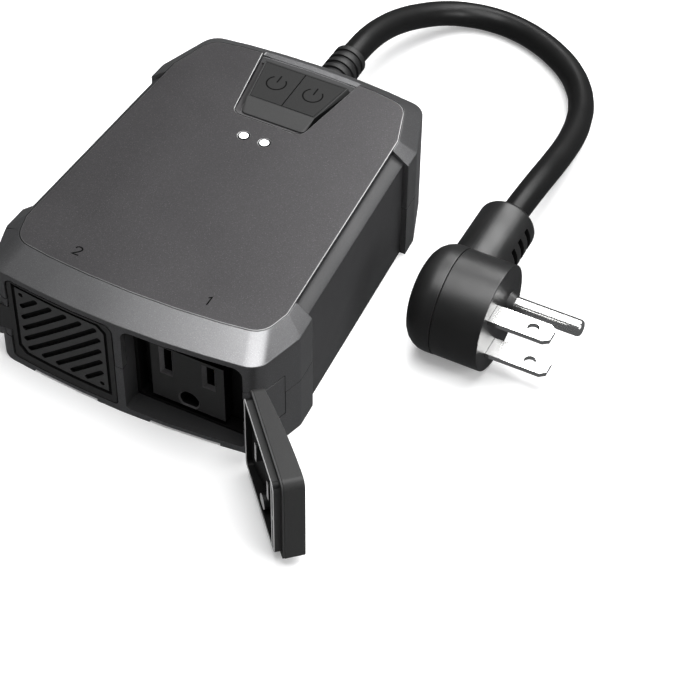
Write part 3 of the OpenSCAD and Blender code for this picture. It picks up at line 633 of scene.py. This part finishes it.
def make_keys():
    pad = refined("keypad", 0.15)
    # Painted shade in the well and gaps round the keys
    repaint(pad, painted_recess_shade, in_well)
    # Painted highlight on the pad's sloped and bevelled faces
    repaint(pad, painted_ramp_highlight, on_ramp)
    for side, sign in (("1", 1), ("2", -1)):
        refined("button_" + side, 0.08, change=fill_gap)
        x = sign * ICON_X
        arc = [math.radians(90 + a) for a in range(38, 323, 12)]
        circle = [(x + ICON_R * math.cos(a), ICON_Y + ICON_R * math.sin(a)) for a in arc]
        bar = [(x, ICON_Y + 0.3), (x, ICON_Y + ICON_R + 0.5)]
        printed("key_icon_" + side, [circle, bar], KEY_TOP, "button_" + side)


# ---- Outlets ----

OUTLET_X = 17.2
FACE_Y = -51.5
SLOT_Z = 19.7
GROUND_Z = 7.8
# Centre, half width and half height of the blade slots in the raised face
BLADE_SLOTS = ((-6.35, 1.1, 4.15), (6.35, 1.1, 3.45))
# Width and depth of the tapered lead-in round a blade slot; the ground hole has one measure for both
FUNNEL = (0.85, 1.1)
GROUND_LEAD = 0.4
# Radius of the ground hole, and how far below its centre its flat side lies
GROUND_R = 2.8
GROUND_FLAT = 2.1
FACE_HALF = 9.5
# How far a cutter starts outside the face
START = 0.1


def along_y(outline, y):
    return [mm(x, y, z) for x, z in outline]


def slot_outline(x, half_w, half_h, grow):
    w, h = half_w + grow, half_h + grow
    return [(x - w, SLOT_Z - h), (x + w, SLOT_Z - h), (x + w, SLOT_Z + h), (x - w, SLOT_Z + h)]


def ground_outline(x, grow):
    """D shape with a flat bottom."""
    r, low = GROUND_R + grow, -GROUND_FLAT - grow
    start = math.degrees(math.asin(low / r))
    angles = [math.radians(start + (180 - 2 * start) * k / 32) for k in range(33)]
    return [(x + r * math.cos(a), GROUND_Z + r * math.sin(a)) for a in angles]


def lead_ins(sign):
    """Tapered cutters for the three openings of one outlet."""
    centre = sign * OUTLET_X
    grow, depth = FUNNEL
    cutters = []
    for x, w, h in BLADE_SLOTS:
        rings = [
            along_y(slot_outline(centre + x, w, h, grow + START * grow / depth), FACE_Y - START),
            along_y(slot_outline(centre + x, w, h, 0.01), FACE_Y + depth),
        ]
        cutters.append(loft("cutter", rings))
    rings = [
        along_y(ground_outline(centre, GROUND_LEAD + START), FACE_Y - START),
        along_y(ground_outline(centre, 0.01), FACE_Y + GROUND_LEAD),
    ]
    cutters.append(loft("cutter", rings))
    return cutters


def behind_face(centre, normal):
    return centre.y > FACE_Y + 0.25


def within_face(centre):
    return abs(abs(centre.x) - OUTLET_X) < FACE_HALF


def in_funnel(centre, normal):
    return within_face(centre) and centre.y < FACE_Y + FUNNEL[1] and -0.9 < normal.y < -0.3


def inside_slot(centre, normal):
    return within_face(centre) and centre.y > FACE_Y + FUNNEL[1] - 0.3 and abs(normal.y) < 0.3


def make_outlets():
    for side, sign in (("1", 1), ("2", -1)):
        obj = refined("receptacle_" + side, 0, change=lambda obj, sign=sign: carve(obj, lead_ins(sign)))
        # Painted shade on the tub behind the raised face
        repaint(obj, painted_inner_shade, behind_face)
        # Painted highlight on the sloped lead-ins round the openings
        repaint(obj, funnel_grey_and_painted_highlight, in_funnel)
        # Painted shade on the walls inside the openings
        repaint(obj, painted_recess_shade, inside_slot)


# ---- Doors ----

HINGE = Vector((38.7, -53.8))
DOOR_OPEN = 132
PANEL_X = (3.9, 32.1)
PANEL_Z = (6.1, 30.2)
GROOVE = 0.9
RIM_END = -49.5
PLUG_END = -49.9
# How near its end, in millimetres, a rim or a soft blade plug is pale
PALE_END = 0.12


def bow_y(x):
    """Y of the bowed front surface that the closed doors follow."""
    return -57.3 + 2.65 * (abs(x) / 35) ** 2


def when_closed(side, centre, normal):
    """A place and a direction on a door, as on the right-hand door while it is closed."""
    if side == "2":
        return Vector((-centre.x, centre.y, centre.z)), Vector((-normal.x, normal.y, normal.z))
    turn = Matrix.Rotation(math.radians(-DOOR_OPEN), 3, "Z")
    hinge = Vector((*HINGE, 0))
    return turn @ (centre - hinge) + hinge, turn @ normal


def on_door(side, test):
    return lambda c, n: test(*when_closed(side, c, n))


def in_groove(c, n):
    depth = c.y - bow_y(c.x)
    inside_x = PANEL_X[0] - GROOVE - 0.1 < c.x < PANEL_X[1] + GROOVE + 0.3
    inside_z = PANEL_Z[0] - GROOVE - 0.1 < c.z < PANEL_Z[1] + GROOVE + 0.1
    return inside_x and inside_z and 0.08 < depth < 1.3 and n.y < 0.3


def in_grille_slot(c, n):
    return c.y - bow_y(c.x) > 0.27


def in_door(c, n):
    return 3.4 < c.x < 32.9 and 4.6 < c.z < 30.2 and c.y - bow_y(c.x) > 1.3


def rim_edge(c, n):
    return c.y > RIM_END - PALE_END and n.y > 0.3


def plug_edge(c, n):
    return c.y > PLUG_END - PALE_END and n.y > 0.3


def make_doors():
    for side in "12":
        cover = refined("door_" + side, 0.15)
        # Painted shade in the groove round the grille
        repaint(cover, painted_recess_shade, on_door(side, in_groove))
        # Painted shade on the inside of the door
        repaint(cover, painted_inner_shade, on_door(side, in_door))
        repaint(cover, rim_pale, on_door(side, rim_edge))
        panel = refined("door_grille_" + side, 0.08)
        panel.data.materials[0] = panel_satin
        # Painted shade in the grille's slots
        repaint(panel, painted_recess_shade, on_door(side, in_grille_slot))
        guard = refined("blade_guard_" + side, 0.12)
        repaint(guard, rim_pale, on_door(side, plug_edge))
        refined("door_gasket_" + side, 0.06)


# ---- Plug ----

PIN_YZ = (13.1, 15.2)
PIN_TIP = 101.1
# (x, radius) of the collar where the pin leaves the face, and of the pin itself
HUB = ((79.3, 3.6), (79.9, 3.5), (81.6, 2.75), (81.8, 2.3))
PIN = (
    (76, 2.1), (79.7, 2.1), (79.8, 2.4), (PIN_TIP - 1.2, 2.4), (PIN_TIP - 0.65, 2.25),
    (PIN_TIP - 0.25, 1.95), (PIN_TIP - 0.05, 1.5), (PIN_TIP, 1.0),
)
# Where the slots in the side of the cord boss are
BOSS_SLOT_X = 72.9
BOSS_SLOT_Y = (26, 38)
BOSS_SLOT_Z = (10.6, 19.8)


def in_boss_slot(c, n):
    inside = BOSS_SLOT_Y[0] < c.y < BOSS_SLOT_Y[1] and BOSS_SLOT_Z[0] < c.z < BOSS_SLOT_Z[1]
    return inside and c.x > BOSS_SLOT_X and n.x < 0.5


def make_plug():
    """The relief and the plug; returns the pieces that are on the cord."""
    pieces = [refined("strain_relief", 0.15), refined("plug_body", 0.25), refined("plug_face", 0.35)]
    # Painted shade in the slots of the cord boss
    repaint(pieces[1], painted_recess_shade, in_boss_slot)
    for node in ("blade_line", "blade_neutral"):
        pieces.append(refined(node, 0))
    hub = turned("ground_hub", *PIN_YZ, HUB)
    pieces.append(dress(soften(hub, 0), "housing", "plug_black"))
    pin = turned("ground_pin_detail", *PIN_YZ, PIN)
    dress(soften(pin, 0), "housing", "pin_nickel")
    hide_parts("ground_pin")
    pieces.append(pin)
    return pieces


# ---- Stage ----


FLOOR_HALF = 1.5
FLOOR_DROP = 0.05
# Name, place, aim, size in metres and power in watts
LAMPS = (
    ("overhead", (0.08, -0.02, 0.62), (0.06, -0.02, 0.0), (0.5, 0.45), 4.8),
    ("right", (0.65, -0.1, 0.35), (0.03, 0.0, 0.02), (0.4, 0.3), 3),
    ("rear", (0.16, 0.55, 0.6), (0.05, 0.0, 0.02), (0.75, 0.3), 5.5),
)
SKY = (0.75, 0.76, 0.78, 1)
SKY_STRENGTH = 0.16


def make_floor():
    corners = [(FLOOR_HALF * x, FLOOR_HALF * y, 0) for x, y in ((-1, -1), (1, -1), (1, 1), (-1, 1))]
    floor = mesh_from("floor", corners, [(0, 1, 2, 3)])
    floor.location.z = -FLOOR_DROP * MM
    g = Graph("floor_white")
    g.set(Roughness=0.6, Emission_Strength=0.22, Emission_Color=(1, 1, 1, 1))
    g.link(g.mix(g.noise(60, 2.0), (0.86, 0.86, 0.86), (0.88, 0.88, 0.88)), g.shader.inputs["Base Color"])
    floor.data.materials.append(g.material)
    floor.visible_glossy = False


def make_light(name, place, aim, size, power):
    data = bpy.data.lights.new(name, "AREA")
    data.shape = "RECTANGLE"
    data.size, data.size_y = size
    data.energy = power
    light = bpy.data.objects.new(name, data)
    light.location = place
    light.rotation_euler = (Vector(aim) - Vector(place)).to_track_quat("-Z", "Y").to_euler()
    light.visible_camera = False
    bpy.context.scene.collection.objects.link(light)


def make_lights():
    world = bpy.data.worlds.new("world")
    world.use_nodes = True
    sky = world.node_tree.nodes["Background"]
    sky.inputs["Color"].default_value = SKY
    sky.inputs["Strength"].default_value = SKY_STRENGTH
    bpy.context.scene.world = world
    bpy.context.scene.view_settings.view_transform = "Standard"
    for lamp in LAMPS:
        make_light(*lamp)


paint_cad()
make_camera()
make_housing()
make_keys()
make_outlets()
make_doors()
make_cord(make_plug())
make_floor()
make_lights()
